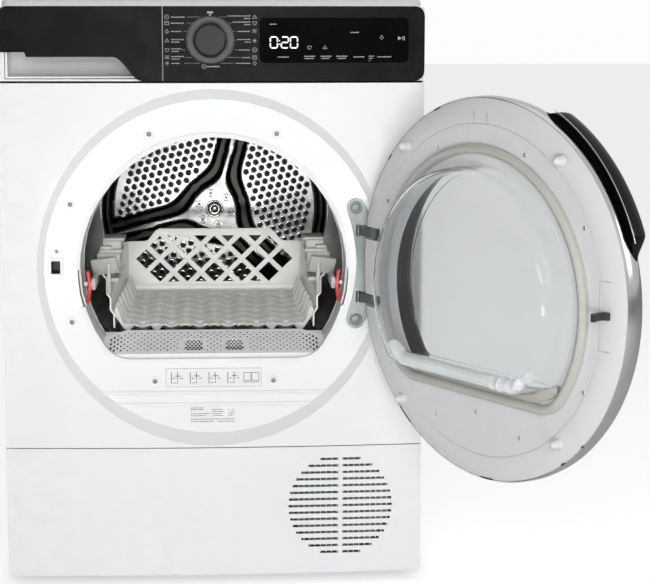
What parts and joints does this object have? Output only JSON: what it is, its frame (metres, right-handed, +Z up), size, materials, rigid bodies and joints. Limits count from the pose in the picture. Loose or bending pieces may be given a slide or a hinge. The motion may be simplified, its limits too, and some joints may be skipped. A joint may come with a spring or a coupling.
{
  "type": "clothes dryer",
  "caption": "Free-standing front-loading heat-pump clothes dryer with a round hinged door, drum, water drawer, programme knob, lint filter and lift-out drying rack.",
  "frame": {"origin": "centre of the flat underside of the base, 15 mm above the floor on its feet", "axes": "+X towards the door hinge side, -Y out of the front, +Z up"},
  "size_m": [0.8119, 0.9938, 0.841],
  "materials": {
    "white_paint": "satin enamel",
    "worktop_board": "laminated board, satin",
    "white_plastic": "fine satin grain",
    "grey_plastic": "satin",
    "dark_plastic": "fine grain",
    "gloss_black": "high gloss",
    "smoked_glass": "smoked",
    "clear_plastic": "clear",
    "stainless_steel": "brushed",
    "zinc_steel": "zinc plated",
    "chromed_rim": "chrome plated",
    "seal_rubber": "soft matte",
    "black_rubber": "matte",
    "red_plastic": "satin gloss",
    "aluminium": "plain",
    "felt": "felt",
    "circuit_board": "printed board"
  },
  "bodies": {
    "cabinet": {"cabinet_left_side": "white_paint", "cabinet_right_side": "white_paint", "rear_panel": "white_paint", "front_panel": "white_paint", "worktop": "worktop_board", "kick_panel": "white_plastic", "grille_louvre": "white_plastic", "control_panel_frame": "white_plastic", "opening_bezel": "white_plastic", "latch_plate": "white_plastic", "front_bulkhead": "grey_plastic", "filter_duct": "grey_plastic", "knob_ring": "grey_plastic", "base_tray": "dark_plastic", "power_inlet": "dark_plastic", "selector_switch": "dark_plastic", "latch_housing": "dark_plastic", "fascia": "gloss_black", "display_lens": "gloss_black", "hinge_bracket": "zinc_steel", "rear_bulkhead": "zinc_steel", "rear_bearing_housing": "zinc_steel", "drive_belt": "black_rubber", "evaporator": "aluminium", "condenser": "aluminium", "motor": "aluminium", "compressor": "aluminium", "front_felt_seal": "felt", "control_board": "circuit_board"},
    "door": {"door_inner_plate": "white_plastic", "door_rim": "chromed_rim", "door_window": "smoked_glass", "door_handle": "gloss_black", "door_bowl": "clear_plastic", "door_gasket": "seal_rubber", "door_hook": "dark_plastic", "hinge_pin": "zinc_steel"},
    "drum": {"drum_shell": "stainless_steel", "drum_rear_wall": "stainless_steel", "drum_spider": "stainless_steel", "drum_hub": "stainless_steel", "drum_lifter_1": "white_plastic", "drum_lifter_2": "white_plastic", "drum_lifter_3": "white_plastic", "drum_shaft": "zinc_steel"},
    "motor_rotor": {"motor_pulley": "zinc_steel", "process_fan": "dark_plastic"},
    "roller_left": {"drum_roller_left": "black_rubber"},
    "roller_right": {"drum_roller_right": "black_rubber"},
    "knob": {"programme_knob": "dark_plastic"},
    "drawer": {"drawer_front": "gloss_black", "water_tank": "white_plastic"},
    "filter": {"lint_filter": "white_plastic"},
    "rack": {"drying_rack": "grey_plastic"},
    "clip_left": {"rack_clip_left": "red_plastic"},
    "clip_right": {"rack_clip_right": "red_plastic"},
    "foot_front_left": {"foot_front_left": "black_rubber"},
    "foot_front_right": {"foot_front_right": "black_rubber"},
    "foot_rear_left": {"foot_rear_left": "black_rubber"},
    "foot_rear_right": {"foot_rear_right": "black_rubber"}
  },
  "joints": [
    {"name": "door_hinge", "type": "hinge", "parent": "cabinet", "child": "door", "pos_m": [0.228, -0.30497, 0.45], "axis": [0, 0, 1], "range_deg": [-123.4, 3.6]},
    {"name": "drum_spin", "type": "hinge", "parent": "cabinet", "child": "drum", "pos_m": [0, -0.207, 0.485], "axis": [0, 1, 0], "continuous": true},
    {"name": "motor_spin", "type": "hinge", "parent": "cabinet", "child": "motor_rotor", "pos_m": [-0.2, 0.06, 0.13], "axis": [0, 1, 0], "continuous": true},
    {"name": "roller_left_spin", "type": "hinge", "parent": "cabinet", "child": "roller_left", "pos_m": [-0.19566, -0.177, 0.23457], "axis": [0, 1, 0], "continuous": true},
    {"name": "roller_right_spin", "type": "hinge", "parent": "cabinet", "child": "roller_right", "pos_m": [0.19566, -0.177, 0.23457], "axis": [0, 1, 0], "continuous": true},
    {"name": "knob_turn", "type": "hinge", "parent": "cabinet", "child": "knob", "pos_m": [-0.0027, -0.295, 0.77], "axis": [0, -1, 0], "continuous": true},
    {"name": "drawer_slide", "type": "slide", "parent": "cabinet", "child": "drawer", "axis": [0, -1, 0], "range_m": [0, 0.4]},
    {"name": "filter_lift", "type": "slide", "parent": "cabinet", "child": "filter", "axis": [0, 0, 1], "range_m": [0, 0.15]},
    {"name": "rack_slide", "type": "slide", "parent": "cabinet", "child": "rack", "axis": [0, -1, 0], "range_m": [0, 0.3]},
    {"name": "clip_left_turn", "type": "hinge", "parent": "rack", "child": "clip_left", "pos_m": [-0.1765, -0.249, 0.4225], "axis": [1, 0, 0], "range_deg": [0, 85]},
    {"name": "clip_right_turn", "type": "hinge", "parent": "rack", "child": "clip_right", "pos_m": [0.1765, -0.249, 0.4225], "axis": [1, 0, 0], "range_deg": [0, 85]},
    {"name": "foot_front_left_height", "type": "slide", "parent": "cabinet", "child": "foot_front_left", "axis": [0, 0, -1], "range_m": [0, 0.01]},
    {"name": "foot_front_right_height", "type": "slide", "parent": "cabinet", "child": "foot_front_right", "axis": [0, 0, -1], "range_m": [0, 0.01]},
    {"name": "foot_rear_left_height", "type": "slide", "parent": "cabinet", "child": "foot_rear_left", "axis": [0, 0, -1], "range_m": [0, 0.01]},
    {"name": "foot_rear_right_height", "type": "slide", "parent": "cabinet", "child": "foot_rear_right", "axis": [0, 0, -1], "range_m": [0, 0.01]}
  ],
  "couplings": [
    {"joint": "motor_spin", "follows": "drum_spin", "ratio": 23.958},
    {"joint": "roller_left_spin", "follows": "drum_spin", "ratio": -9.5833},
    {"joint": "roller_right_spin", "follows": "drum_spin", "ratio": -9.5833}
  ]
}
